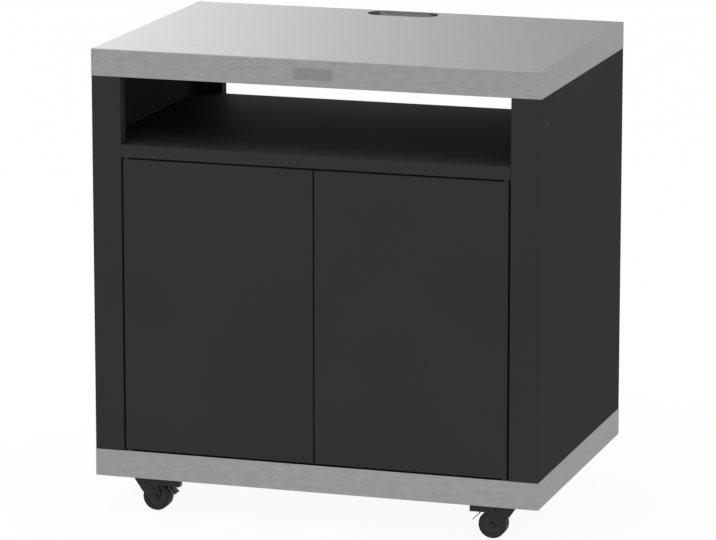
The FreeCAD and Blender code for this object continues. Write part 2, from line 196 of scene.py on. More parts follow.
class Graph(Wiring):
    """Node tree of one material, with short ways to add textures to its surface shader."""

    def __init__(self, name: str) -> None:
        """Starts a material with one surface shader.

        Args:
            name: Name of the material.
        """
        self.material = bpy.data.materials.new(name)
        self.material.use_nodes = True
        super().__init__(self.material.node_tree)
        self.tree.nodes.clear()
        self.surface = self.add("ShaderNodeBsdfPrincipled")
        self.output = self.add("ShaderNodeOutputMaterial")
        self.join(self.surface.outputs["BSDF"], self.output.inputs["Surface"])
        self.place = self.add("ShaderNodeTexCoord").outputs["Object"]

    def set(self, **values: Any) -> None:
        """Sets constants on the surface shader; a word's underscores stand for spaces."""
        for key, value in values.items():
            self.surface.inputs[key.replace("_", " ")].default_value = value

    def drive(self, **sources: Socket) -> None:
        """Links values to the surface shader; a word's underscores stand for spaces."""
        for key, source in sources.items():
            self.join(source, self.surface.inputs[key.replace("_", " ")])

    def scaled(self, per_metre: Triple) -> Socket:
        """Object coordinates stretched for a texture.

        Args:
            per_metre: Texture units in one metre along X, Y and Z.

        Returns:
            The coordinates.
        """
        node = self.add("ShaderNodeMapping")
        node.inputs["Scale"].default_value = per_metre
        self.join(self.place, node.inputs["Vector"])
        return node.outputs["Vector"]

    def noise(self, place: Socket, scale: float = 1.0, detail: float = 2.0,
              rough: float = 0.5) -> Socket:
        """Fractal noise.

        Args:
            place: Coordinates to use.
            scale: Further scale of the coordinates.
            detail: Octaves of the noise.
            rough: Weight of the finer octaves.

        Returns:
            The noise value, about 0 to 1.
        """
        node = self.add("ShaderNodeTexNoise")
        for key, number in {"Scale": scale, "Detail": detail, "Roughness": rough}.items():
            node.inputs[key].default_value = number
        self.join(place, node.inputs["Vector"])
        return node.outputs["Fac"]

    def spread(self, value: Socket, low: float = 0.0, high: float = 1.0,
               read: Pair = WIDE) -> Socket:
        """Maps a texture value onto a range.

        Args:
            value: The texture value.
            low: Result at the lowest value read.
            high: Result at the highest value read.
            read: Lowest and highest value read.

        Returns:
            The mapped value.
        """
        node = self.add("ShaderNodeMapRange")
        self.join(value, node.inputs["Value"])
        for key, number in zip(("From Min", "From Max", "To Min", "To Max"), (*read, low, high)):
            node.inputs[key].default_value = number
        return node.outputs["Result"]

    def between(self, kind: str, share: Socket) -> bpy.types.Node:
        """Node that goes from its input A to its input B.

        Args:
            kind: Blender's name of what is mixed.
            share: Share of B.

        Returns:
            The node.
        """
        node = self.add("ShaderNodeMix", data_type=kind)
        self.join(share, node.inputs["Factor"])
        return node

    def tint(self, share: Socket, low: float, high: float, low_cast: Triple = NEUTRAL,
             high_cast: Triple = NEUTRAL) -> Socket:
        """Colour between a darker and a lighter grey.

        Args:
            share: Share of the lighter grey.
            low: Level of the darker grey.
            high: Level of the lighter grey.
            low_cast: Colour cast of the darker grey.
            high_cast: Colour cast of the lighter grey.

        Returns:
            The colour.
        """
        node = self.between("RGBA", share)
        for key, level, cast in (("A", low, low_cast), ("B", high, high_cast)):
            node.inputs[key].default_value = (*(level * part for part in cast), 1.0)
        return node.outputs["Result"]

    def relief(self, height: Socket, depth: float, edge: float) -> None:
        """Raises the surface by a height and rounds its edges to the eye.

        Args:
            height: Height from 0 to 1.
            depth: Height of 1 in metres.
            edge: Radius of the rounded edges in metres.
        """
        bump = self.add("ShaderNodeBump")
        bump.inputs["Strength"].default_value = 1.0
        bump.inputs["Distance"].default_value = depth
        self.join(height, bump.inputs["Height"])
        bevel = self.add("ShaderNodeBevel", samples=6)
        bevel.inputs["Radius"].default_value = edge
        self.join(bevel.outputs["Normal"], bump.inputs["Normal"])
        self.drive(Normal=bump.outputs["Normal"])


@dataclass(frozen=True)
class BrushedStainless:
    """Stainless sheet brushed along the cart's width, so the grain stands upright on its sides."""

    name: str = "brushed_stainless"
    tone: float = 0.328
    contrast: float = 0.03
    # painted light: tone added on faces that look left or right
    side_painted_light: float = 0.026
    # painted shade: share of the tone that lying faces keep
    lying_painted_shade_share: float = 0.87
    level_calm: float = 0.45
    facing: float = 0.7
    roughness: float = 0.34
    duller: Pair = (-0.05, 0.06)
    edge_reflectance: float = 0.72
    grain_length: float = 0.11
    grain_pitch: float = 0.0007
    grain_octaves: float = 3.0
    fine_roughness: float = 0.65
    fine_share: float = 0.6
    broad_scale: float = 0.16
    cloud_length: float = 0.027
    cloud_pitch: float = 0.0085
    cloud_roughness: float = 0.6
    cloud_share: float = 0.66
    cast: Triple = (1.0, 1.0, 1.01)
    depth: float = 0.000012
    edge: float = 0.0007

    def build(self) -> bpy.types.Material:
        """Makes the material.

        Returns:
            The material.
        """
        graph = Graph(self.name)
        normal = graph.add("ShaderNodeSeparateXYZ")
        graph.join(graph.add("ShaderNodeNewGeometry").outputs["True Normal"], normal.inputs[0])
        sideways = graph.maths("GREATER_THAN", graph.maths("ABSOLUTE", normal.outputs["X"]),
                               self.facing)
        lying = graph.maths("GREATER_THAN", normal.outputs["Z"], self.facing)

        # The grain runs along the cart's width, and upright on its sides.
        along, across = 1 / self.grain_length, 1 / self.grain_pitch
        choose = graph.between("VECTOR", sideways)
        graph.join(graph.scaled((along, across, across)), choose.inputs["A"])
        graph.join(graph.scaled((across, across, along)), choose.inputs["B"])
        grain_place = choose.outputs["Result"]
        fine = graph.noise(grain_place, detail=self.grain_octaves, rough=self.fine_roughness)
        broad = graph.noise(grain_place, self.broad_scale)
        streaks = graph.plus(graph.times(fine, self.fine_share),
                             graph.times(broad, 1 - self.fine_share))
        sparse, dense = 1 / self.cloud_length, 1 / self.cloud_pitch
        cloud = graph.noise(graph.scaled((sparse, sparse, dense)), detail=self.grain_octaves,
                            rough=self.cloud_roughness)
        mottled = graph.plus(graph.times(streaks, 1 - self.cloud_share),
                             graph.times(cloud, self.cloud_share))

        # Painted shade and light: lying faces get a darker tone and calmer grain, and the sides a
        # lighter tone.
        calm = graph.spread(lying, 1.0, self.level_calm, WHOLE)
        swing = graph.times(graph.spread(mottled, -self.contrast, self.contrast, MIDDLE), calm)
        tone_and_painted_light = graph.plus(graph.spread(lying, self.tone, self.tone * self.lying_painted_shade_share, WHOLE),
                            graph.times(sideways, self.side_painted_light))
        polish = graph.times(graph.spread(streaks, *self.duller, MIDDLE), calm)
        graph.drive(Base_Color=graph.tint(graph.plus(tone_and_painted_light, swing), 0.0, 1.0,
                                          high_cast=self.cast),
                    Roughness=graph.plus(polish, self.roughness))
        graph.set(Metallic=1.0, Specular_Tint=grey(self.edge_reflectance))
        graph.relief(graph.times(streaks, calm), self.depth, self.edge)
        return graph.material


@dataclass(frozen=True)
class PowderCoat:
    """Matt powder coat with a fine orange-peel skin."""

    name: str = "black_powder_coat"
    tone: float = 0.0335
    contrast: float = 0.06
    cast: Triple = (1.0, 1.0, 1.02)
    roughness: Pair = (0.62, 0.71)
    skin_read: Pair = (0.3, 0.7)
    gloss: float = 0.006
    grain: float = 0.0009
    grain_roughness: float = 0.45
    pore_scale: float = 3.1
    pore_depth: float = 0.35
    clouds_per_metre: float = 3.0
    depth: float = 0.00001
    edge: float = 0.0006

    def build(self) -> bpy.types.Material:
        """Makes the material.

        Returns:
            The material.
        """
        graph = Graph(self.name)
        per_metre = 1 / self.grain
        skin = graph.noise(graph.place, per_metre, rough=self.grain_roughness)
        pores = graph.noise(graph.place, per_metre * self.pore_scale, 1.0)
        cloud = graph.noise(graph.place, self.clouds_per_metre)
        share = graph.spread(graph.times(graph.plus(cloud, pores), 0.5), read=MIDDLE)
        graph.drive(Base_Color=graph.tint(share, self.tone * (1 - self.contrast),
                                          self.tone * (1 + self.contrast), self.cast, self.cast),
                    Roughness=graph.spread(skin, *self.roughness, self.skin_read))
        graph.set(Specular_IOR_Level=self.gloss)
        graph.relief(graph.plus(skin, graph.times(pores, self.pore_depth)), self.depth, self.edge)
        return graph.material


@dataclass(frozen=True)
class ZincCoat:
    """Zinc on steel, from dull dipped sheet with its crystal pattern to bright plated fittings."""

    name: str
    tone: float
    roughness: Pair
    crystal: float = 0.009
    contrast: float = 0.10
    dark_cast: Triple = (1.0, 1.0, 1.02)
    light_cast: Triple = (1.0, 1.005, 1.03)
    films_per_metre: float = 60.0
    film_octaves: float = 3.0
    film_roughness: float = 0.6
    depth: float = 0.00001
    edge: float = 0.0004

    def build(self) -> bpy.types.Material:
        """Makes the material.

        Returns:
            The material.
        """
        graph = Graph(self.name)
        cells = graph.add("ShaderNodeTexVoronoi", feature="F1")
        cells.inputs["Scale"].default_value = 1 / self.crystal
        graph.join(graph.place, cells.inputs["Vector"])
        crystal = graph.add("ShaderNodeSeparateColor")
        graph.join(cells.outputs["Color"], crystal.inputs["Color"])
        film = graph.noise(graph.place, self.films_per_metre, self.film_octaves,
                           self.film_roughness)
        mixed = graph.times(graph.plus(crystal.outputs["Red"], film), 0.5)
        graph.drive(Base_Color=graph.tint(mixed, self.tone * (1 - self.contrast),
                                          self.tone * (1 + self.contrast), self.dark_cast,
                                          self.light_cast),
                    Roughness=graph.spread(mixed, *self.roughness))
        graph.set(Metallic=1.0)
        graph.relief(film, self.depth, self.edge)
        return graph.material


@dataclass(frozen=True)
class Moulded:
    """Moulded plastic or rubber with a fine eroded grain and a dusting of wear."""

    name: str
    tone: float
    roughness: Pair
    gloss: float = 0.35
    grain: float = 0.0005
    dust_tones: Pair = (0.86, 1.18)
    dark_cast: Triple = (1.0, 1.0, 1.02)
    light_cast: Triple = (1.0, 1.0, 1.01)
    dust_per_metre: float = 140.0
    dust_octaves: float = 4.0
    dust_read: Pair = (0.3, 0.75)
    fine_roughness: float = 0.6
    depth: float = 0.00002
    edge: float = 0.0004

    def build(self) -> bpy.types.Material:
        """Makes the material.

        Returns:
            The material.
        """
        graph = Graph(self.name)
        grain = graph.noise(graph.place, 1 / self.grain, rough=self.fine_roughness)
        dust = graph.noise(graph.place, self.dust_per_metre, self.dust_octaves,
                           self.fine_roughness)
        share = graph.spread(dust, read=self.dust_read)
        graph.drive(Base_Color=graph.tint(share, self.tone * self.dust_tones[0],
                                          self.tone * self.dust_tones[1], self.dark_cast,
                                          self.light_cast),
                    Roughness=graph.spread(dust, *self.roughness))
        graph.set(Specular_IOR_Level=self.gloss)
        graph.relief(grain, self.depth, self.edge)
        return graph.material


@dataclass
class Finishes:
    """The cart's finishes under the record's slot names."""

    built: Dict[str, bpy.types.Material] = field(default_factory=dict)

    def build(self) -> None:
        """Makes every finish once."""
        for finish in (
            BrushedStainless(),
            BrushedStainless(name="plate_rim", tone=0.4, contrast=0.02, roughness=0.3,
                             grain_length=0.03),
            BrushedStainless(name="plate_field", tone=0.265, contrast=0.018, roughness=0.42,
                             grain_length=0.03, grain_pitch=0.0005, cloud_length=0.03,
                             cloud_pitch=0.004),
            PowderCoat(),
            PowderCoat(name="black_pin", roughness=(0.46, 0.55), gloss=0.08),
            PowderCoat(name="caster_black", tone=0.021, roughness=(0.38, 0.47), gloss=0.22,
                       grain=0.0006, edge=0.0005),
            ZincCoat("galvanised_steel", 0.36, (0.40, 0.52)),
            ZincCoat("zinc_plate", 0.48, (0.22, 0.34), crystal=0.002, contrast=0.05, edge=0.0003),
            ZincCoat("zinc_black", 0.035, (0.30, 0.42), crystal=0.002, contrast=0.2, edge=0.0003),
            ZincCoat("spring_steel", 0.13, (0.40, 0.52), crystal=0.003, contrast=0.12,
                     edge=0.0003),
            Moulded("black_plastic", 0.020, (0.41, 0.56)),
            Moulded("tyre_rubber", 0.021, (0.57, 0.72), gloss=0.25, grain=0.0007, depth=0.00003,
                    edge=0.0006),
        ):
            self.built[finish.name] = finish.build()

    def dress(self, node: str, slot: str) -> None:
        """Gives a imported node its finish.

        Args:
            node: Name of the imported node.
            slot: Material slot named by the record.
        """
        piece = frame["nodes"][node]
        material = self.built[slot]
        if not piece.material_slots:
            piece.data.materials.append(material)
        for place in piece.material_slots:
            place.material = material
        LOG.info("finish %s on %s", slot, node)

    def dress_all(self) -> None:
        """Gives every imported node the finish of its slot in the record."""
        for part in frame["record"]["subparts"]:
            self.dress(part["node"], part["material_slot"])


class Shapes:
    """Mesh code shared by the sub-assemblies."""

    ON_AXIS = 1e-7
    ONE_POINT = 1e-6
    FLAT_BEND = 0.5
    SHARP_BEND = 30.0
    CORNER_STEPS = 6
    LEAST_CORNER = 0.2 * MM
    CHAMFER_SHARE = 0.3
    WALL_SHARE = 0.4

    @staticmethod
    def done(work: Work, place: Matrix = IN_PLACE) -> Mesh:
        """Closes a work mesh.

        Args:
            work: The work mesh, freed here.
            place: Matrix from local to frame coordinates.

        Returns:
            The mesh.
        """
        bmesh.ops.transform(work, matrix=place, verts=work.verts)
        bmesh.ops.recalc_face_normals(work, faces=work.faces)
        mesh = bpy.data.meshes.new("mesh")
        work.to_mesh(mesh)
        work.free()
        return mesh

    @staticmethod
    def joined(meshes: Iterable[Mesh]) -> Mesh:
        """One mesh from several.

        Args:
            meshes: The meshes, which are used up.

        Returns:
            The mesh.
        """
        work = bmesh.new()
        for mesh in meshes:
            work.from_mesh(mesh)
            bpy.data.meshes.remove(mesh)
        return Shapes.done(work)

    @staticmethod
    def aimed(at: Triple, way: Triple) -> Matrix:
        """Matrix that carries the local origin to a point and local Z to a direction."""
        turn = Vector(way).to_track_quat("Z", "Y").to_matrix().to_4x4()
        return Matrix.Translation(Vector(at)) @ turn

    @staticmethod
    def arc(centre: Pair, radius: float, start: float, end: float, steps: int) -> List[Pair]:
        """Points of an arc in the plane of an outline.

        Args:
            centre: Centre of the arc.
            radius: Radius of the arc.
            start: First angle in degrees.
            end: Last angle in degrees.
            steps: Number of steps.

        Returns:
            The points.
        """
        turns = [math.radians(start + (end - start) * i / steps) for i in range(steps + 1)]
        return [(centre[0] + radius * math.cos(turn), centre[1] + radius * math.sin(turn))
                for turn in turns]

    @staticmethod
    def grown(outline: Outline, radius: float, height: float) -> List[Pair]:
        """Outline from its shares of a radius and a height."""
        return [(radius * across, height * up) for across, up in outline]

    @staticmethod
    def ring(work: Work, radius: float, height: float, steps: int) -> Ring:
        """Circle of points about the local Z axis.

        Args:
            work: Work mesh that the points go into.
            radius: Radius of the circle.
            height: Height of the circle.
            steps: Number of points.

        Returns:
            The points.
        """
        return [work.verts.new((radius * math.cos(math.tau * i / steps),
                                radius * math.sin(math.tau * i / steps), height))
                for i in range(steps)]

    @staticmethod
    def skin(work: Work, rings: Sequence[Ring]) -> None:
        """Joins rings with the same number of points and closes both ends.

        Args:
            work: Work mesh that holds the rings.
            rings: The rings in order.
        """
        for near, far in zip(rings, rings[1:]):
            for i in range(len(near)):
                j = (i + 1) % len(near)
                work.faces.new((near[i], near[j], far[j], far[i]))
        work.faces.new(rings[0][::-1])
        work.faces.new(rings[-1])

    @staticmethod
    def lathe(outline: Outline, steps: int, place: Matrix) -> Mesh:
        """Closed body of revolution about a local Z axis.

        Args:
            outline: Closed outline as (radius, height) pairs, without a repeated end.
            steps: Number of steps round the axis.
            place: Matrix from local to frame coordinates.

        Returns:
            The mesh.
        """
        work = bmesh.new()
        rings = [[work.verts.new((0.0, 0.0, height))] if radius < Shapes.ON_AXIS
                 else Shapes.ring(work, radius, height, steps) for radius, height in outline]
        for near, far in zip(rings, rings[1:] + rings[:1]):
            if len(near) == 1 and len(far) == 1:
                continue
            for i in range(steps):
                j = (i + 1) % steps
                loop = (near[i % len(near)], near[j % len(near)], far[j % len(far)],
                        far[i % len(far)])
                work.faces.new(list(dict.fromkeys(loop)))
        return Shapes.done(work, place)

    @staticmethod
    def pad(size: Triple, corner: float, edge: float, place: Matrix, rim: float = 0.0,
            sink: float = 0.0) -> Mesh:
        """Flat plate with round corners, a rounded upper edge and, if asked, a sunk field.

        Args:
            size: Length, width and thickness along local X, Y and Z.
            corner: Radius of the corners.
            edge: Size of the rounded upper edge.
            place: Matrix from local to frame coordinates.
            rim: Width of the rim round the field, or 0 for a plain plate.
            sink: Depth of the field below the rim.

        Returns:
            The mesh.
        """
        length, width, thickness = size

        def border(inset: float, height: float) -> List[Triple]:
            """Points round the plate.

            Args:
                inset: Distance in from the plate's outline.
                height: Height above its lower face.

            Returns:
                The points.
            """
            radius = max(corner - inset, Shapes.LEAST_CORNER)
            x, y = length / 2 - inset - radius, width / 2 - inset - radius
            points: List[Triple] = []
            for cx, cy, start in ((x, y, 0), (-x, y, 90), (-x, -y, 180), (x, -y, 270)):
                bend = Shapes.arc((cx, cy), radius, start, start + 90, Shapes.CORNER_STEPS)
                points += [(px, py, height) for px, py in bend]
            return points

        chamfer = edge * Shapes.CHAMFER_SHARE
        levels = [(0.0, 0.0), (0.0, thickness - edge), (chamfer, thickness - chamfer),
                  (edge, thickness)]
        if rim > 0:
            levels += [(rim, thickness), (rim + sink * Shapes.WALL_SHARE, thickness - sink)]
        work = bmesh.new()
        Shapes.skin(work, [[work.verts.new(point) for point in border(*level)]
                           for level in levels])
        return Shapes.done(work, place)

    @staticmethod
    def round_edges(work: Work, width: float, bend: float) -> None:
        """Rounds the sharp edges of a work mesh.

        Args:
            work: The work mesh.
            width: Width of the rounding.
            bend: Least angle between two faces that counts as sharp, in degrees.
        """
        sharp = [edge for edge in work.edges if len(edge.link_faces) == 2
                 and edge.calc_face_angle(0.0) > math.radians(bend)]
        bmesh.ops.bevel(work, geom=sharp, offset=width, offset_type="OFFSET", segments=2,
                        profile=0.5, affect="EDGES", clamp_overlap=True)

    @staticmethod
    def softened(node: str, width: float) -> Mesh:
        """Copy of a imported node's mesh whose sharp edges are rounded.

        Args:
            node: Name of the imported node.
            width: Width of the rounding.

        Returns:
            The mesh.
        """
        work = bmesh.new()
        work.from_mesh(frame["nodes"][node].data)
        bmesh.ops.remove_doubles(work, verts=work.verts, dist=Shapes.ONE_POINT)
        bmesh.ops.dissolve_limit(work, angle_limit=math.radians(Shapes.FLAT_BEND),
                                 verts=work.verts, edges=work.edges)
        Shapes.round_edges(work, width, Shapes.SHARP_BEND)
        return Shapes.done(work)


@dataclass(frozen=True)
class Rivet:
    """Domed head of a blind rivet with its sunk mandrel end."""

    radius: float = 3.2 * MM
    height: float = 1.1 * MM
    dome_degrees: Tuple[int, ...] = (0, 12, 24, 36, 48, 60)
    mandrel: float = 1.1 * MM
    mandrel_levels: Triple = (0.93, 0.55, 0.5)
    steps: int = 28

    def mesh(self, at: Triple, way: Triple) -> Mesh:
        """Mesh of one rivet head.

        Args:
            at: Centre of the face that it sits on.
            way: Direction that the head points in.

        Returns:
            The mesh.
        """
        turns = [math.radians(degrees) for degrees in self.dome_degrees]
        dome = [(self.radius * math.cos(turn), self.height * math.sin(turn)) for turn in turns]
        brim, wall, floor = (self.height * share for share in self.mandrel_levels)
        outline = [(0.0, 0.0), *dome, (self.mandrel, brim), (self.mandrel, wall), (0.0, floor)]
        return Shapes.lathe(outline, self.steps, Shapes.aimed(at, way))


@dataclass(frozen=True)
class Screw:
    """Pan head of a screw with a cross recess; its outline gives shares of radius and height."""

    radius: float = 3.6 * MM
    height: float = 2.2 * MM
    recess: float = 1.2 * MM
    outline: Outline = ((1.0, 0.0), (1.0, 0.45), (0.93, 0.78), (0.74, 0.96), (0.56, 1.0))
    recess_core: float = 0.20
    recess_arm: float = 0.32
    arm_taper: float = 1.5
    floor_share: float = 0.55
    steps: int = 48

    def mesh(self, at: Triple, way: Triple) -> Mesh:
        """Mesh of one screw head.

        Args:
            at: Centre of the face that it sits on.
            way: Direction that the head points in.

        Returns:
            The mesh.
        """
        work = bmesh.new()
        rings = [Shapes.ring(work, radius, height, self.steps)
                 for radius, height in Shapes.grown(self.outline, self.radius, self.height)]
        mouth, floor = [], []
        for i in range(self.steps):
            turn = math.tau * i / self.steps
            lobe = max(math.cos(4 * turn), 0.0) ** self.arm_taper
            arm = self.radius * (self.recess_core + self.recess_arm * lobe)
            foot = arm * self.floor_share
            mouth.append(work.verts.new((arm * math.cos(turn), arm * math.sin(turn), self.height)))
            floor.append(work.verts.new((foot * math.cos(turn), foot * math.sin(turn),
                                         self.height - self.recess)))
        Shapes.skin(work, [*rings, mouth, floor])
        return Shapes.done(work, Shapes.aimed(at, way))


@dataclass(frozen=True)
class SpotWeld:
    """Shallow ring that a welding electrode leaves; its outline gives shares of radius and rise."""

    radius: float = 2.6 * MM
    rise: float = 0.14 * MM
    outline: Outline = ((0.0, -1.0), (1.0, -1.0), (1.0, 0.0), (0.92, 0.7), (0.84, 1.0),
                        (0.74, 0.75), (0.62, 0.35), (0.3, 0.2), (0.0, 0.15))
    steps: int = 24

    def row(self, start: Triple, end: Triple, count: int, way: Triple) -> List[Mesh]:
        """Weld marks evenly spaced between two points.

        Args:
            start: Centre of the first mark.
            end: Centre of the last mark.
            count: Number of marks.
            way: Direction that the face looks in.

        Returns:
            One mesh for each mark.
        """
        first, last = Vector(start), Vector(end)
        outline = Shapes.grown(self.outline, self.radius, self.rise)
        return [Shapes.lathe(outline, self.steps, Shapes.aimed(first.lerp(last, i / (count - 1)),
                                                               way)) for i in range(count)]


@dataclass(frozen=True)
class Stamping:
    """Packed metal part of a caster that is shown with rounded edges."""

    part: str
    body: str
    slot: str
    edge: float


@dataclass
class SubAssembly:
    """Group of the cart's pieces that are made and dressed together."""

    finishes: Finishes

    def piece(self, name: str, mesh: Mesh, body: str, slot: str, look: str = "",
              smooth_angle: float = 32.0) -> bpy.types.Object:
        """Turns a mesh into a piece that rides on a body.

        Args:
            name: Name of the piece.
            mesh: Its mesh, in the frame's metres.
            body: Body that it rides on.
            slot: Material slot of its finish.
            look: Finish to use where it isn't the slot's own.
            smooth_angle: Edges flatter than this are shaded smooth, in degrees.

        Returns:
            The piece.
        """
        piece = bpy.data.objects.new(name, mesh)
        bpy.context.scene.collection.objects.link(piece)
        mesh.materials.clear()
        mesh.materials.append(self.finishes.built[look or slot])
        for face in mesh.polygons:
            face.use_smooth = True
        mesh.set_sharp_from_angle(angle=math.radians(smooth_angle))
        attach(piece, body)
        LOG.info("piece %s on %s", name, body)
        return piece


@dataclass
class Worktop(SubAssembly):
    """Stainless pan with the blank plate that sits in the recess of its front skirt."""

    plate_size: Triple = (76.4 * MM, 25.4 * MM, 0.6 * MM)
    plate_corner: float = 1.2 * MM
    plate_edge: float = 0.15 * MM
    plate_rim: float = 1.6 * MM
    plate_sink: float = 0.1 * MM
    plate_height: float = 848.0 * MM
    field_drop: float = 0.25 * MM
    field_sheet: float = 0.08 * MM
    field_corner: float = 0.4 * MM
    field_edge: float = 0.03 * MM
    plate_smooth_angle: float = 15.0
    screw_y: Triple = (-0.2, 0.0, 0.2)
    flange_sheet: float = 1.2 * MM
    flange_middle: float = 12.0 * MM
    hat_sheet: float = 1.2 * MM
    weld_inset: float = 7.0 * MM
    weld_end: float = 20.0 * MM
    weld_count: int = 8

    def nameplate(self) -> None:
        """Blank plate with a thin raised rim round a darker field."""
        length, width, thickness = self.plate_size
        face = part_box("worktop")[0].y + self.plate_sink
        place = Shapes.aimed((0.0, face + thickness, self.plate_height), (0, -1, 0))
        mesh = Shapes.pad(self.plate_size, self.plate_corner, self.plate_edge, place,
                          rim=self.plate_rim, sink=self.field_drop)
        self.piece("blank_nameplate", mesh, "cabinet", "brushed_stainless", look="plate_rim",
                   smooth_angle=self.plate_smooth_angle)
        inset = 2 * (self.plate_rim + self.field_drop)
        level = face + self.field_drop + self.field_sheet * 0.5
        place = Shapes.aimed((0.0, level, self.plate_height), (0, -1, 0))
        mesh = Shapes.pad((length - inset, width - inset, self.field_sheet), self.field_corner,
                          self.field_edge, place)
        self.piece("nameplate_field", mesh, "cabinet", "brushed_stainless", look="plate_field",
                   smooth_angle=self.plate_smooth_angle)

    def fixing_screws(self) -> None:
        """Screws that hold the worktop to the side panels' upper flanges."""
        low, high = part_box("left_side_panel")
        reach, level = abs(low.x) - self.flange_middle, high.z - self.flange_sheet
        heads = [Screw().mesh((side.value * reach, y, level), (0, 0, -1))
                 for side in Side for y in self.screw_y]
        self.piece("worktop_screws", Shapes.joined(heads), "cabinet", "zinc_plate")

    def stiffener_welds(self) -> None:
        """Weld marks along the flanges of both hat sections."""
        for end in ("front", "rear"):
            low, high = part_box("worktop_" + end + "_stiffener")
            level = high.z - self.hat_sheet
            marks = []
            for y in (low.y + self.weld_inset, high.y - self.weld_inset):
                marks += SpotWeld().row((low.x + self.weld_end, y, level),
                                        (high.x - self.weld_end, y, level), self.weld_count,
                                        (0, 0, -1))
            self.piece("worktop_" + end + "_stiffener_welds", Shapes.joined(marks), "cabinet",
                       "galvanised_steel")

    def build(self) -> None:
        """Adds the worktop's fittings."""
        self.nameplate()
        self.fixing_screws()
        self.stiffener_welds()


@dataclass
class Cabinet(SubAssembly):
    """Black panels with their rivets and screws and the plugs of the sides.

    The plug's outline gives shares of its radius and heights in millimetres over the panel.
    """

    back_sheet: float = 1.0 * MM
    back_rivet_z: Tuple[float, ...] = (0.16, 0.289, 0.418, 0.547, 0.676)
    back_rivet_shift: float = 0.5 * MM
    plug_radius: float = 3.3 * MM
    plug_y: float = -251.0 * MM
    plug_z: float = 773.0 * MM
    plug_outline: Outline = ((0.0, -2.2), (0.8, -2.2), (1.0, -1.7), (1.0, -0.25), (0.94, -0.12),
                             (0.6, -0.07), (0.0, -0.05))
    plug_steps: int = 40
    flange_sheet: float = 1.2 * MM
    flange_middle: float = 11.0 * MM
    fixing_y: Tuple[float, ...] = (-0.21, -0.07, 0.07, 0.21)
    shelf_rivet_drop: float = 9.0 * MM

    def rivets(self) -> None:
        """Blind rivets through the back panel's side folds."""
        low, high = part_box("back_panel")
        middle = (low.y + high.y) / 2 + self.back_rivet_shift
        reach = high.x - self.back_sheet
        heads = [Rivet().mesh((side.value * reach, middle, z), (-side.value, 0, 0))
                 for side in Side for z in self.back_rivet_z]
        self.piece("back_panel_rivets", Shapes.joined(heads), "cabinet", "black_pin")

    def plugs(self) -> None:
        """Flush plugs near the front edge of the side panels."""
        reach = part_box("right_side_panel")[1].x
        outline = Shapes.grown(self.plug_outline, self.plug_radius, MM)
        caps = []
        for side in Side:
            place = Shapes.aimed((side.value * reach, self.plug_y, self.plug_z),
                                 (side.value, 0, 0))
            caps.append(Shapes.lathe(outline, self.plug_steps, place))
        self.piece("side_plugs", Shapes.joined(caps), "cabinet", "black_plastic")

    def shelf_rivets(self) -> None:
        """Blind rivets through the shelf's side folds, below the niche."""
        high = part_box("shelf")[1]
        reach, level = high.x - self.flange_sheet, high.z - self.shelf_rivet_drop
        heads = [Rivet().mesh((side.value * reach, y, level), (-side.value, 0, 0))
                 for side in Side for y in self.fixing_y]
        self.piece("shelf_rivets", Shapes.joined(heads), "cabinet", "black_pin")

    def floor_screws(self) -> None:
        """Screws that hold the side panels' lower flanges to the base."""
        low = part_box("left_side_panel")[0]
        reach = abs(low.x) - self.flange_sheet - self.flange_middle
        heads = [Screw().mesh((side.value * reach, y, low.z + self.flange_sheet), (0, 0, 1))
                 for side in Side for y in self.fixing_y]
        self.piece("floor_screws", Shapes.joined(heads), "cabinet", "zinc_plate")

    def build(self) -> None:
        """Adds the cabinet's fittings."""
        self.rivets()
        self.plugs()
        self.shelf_rivets()
        self.floor_screws()


@dataclass
class Doors(SubAssembly):
    """Weld marks of the door stiffeners and screws of the strike plates."""

    hat_sheet: float = 1.0 * MM
    weld_inset: float = 6.5 * MM
    weld_end: float = 18.0 * MM
    weld_count: int = 7
    strike_screw: Screw = Screw(radius=2.2 * MM, height=0.9 * MM, recess=0.6 * MM)
    screw_reach: float = 9.5 * MM

    def stiffener_welds(self, side: Side) -> None:
        """Weld marks along both flanges of one door's hat section.

        Args:
            side: The door's side.
        """
        low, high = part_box(side.word + "_door_stiffener")
        face = low.y + self.hat_sheet
        marks = []
        for x in (low.x + self.weld_inset, high.x - self.weld_inset):
            marks += SpotWeld().row((x, face, low.z + self.weld_end),
                                    (x, face, high.z - self.weld_end), self.weld_count, (0, 1, 0))
        self.piece(side.word + "_door_welds", Shapes.joined(marks), side.word + "_door",
                   "galvanised_steel")

    def strike_screws(self, side: Side) -> None:
        """Two flat screw heads on one strike plate.

        Args:
            side: The door's side.
        """
        low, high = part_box(side.word + "_strike_plate")
        middle = (low + high) / 2
        heads = [self.strike_screw.mesh((middle.x + way * self.screw_reach, high.y, middle.z),
                                        (0, 1, 0)) for way in (-1, 1)]
        self.piece(side.word + "_strike_screws", Shapes.joined(heads), side.word + "_door",
                   "zinc_plate")

    def build(self) -> None:
        """Adds the doors' fittings."""
        for side in Side:
            self.stiffener_welds(side)
            self.strike_screws(side)


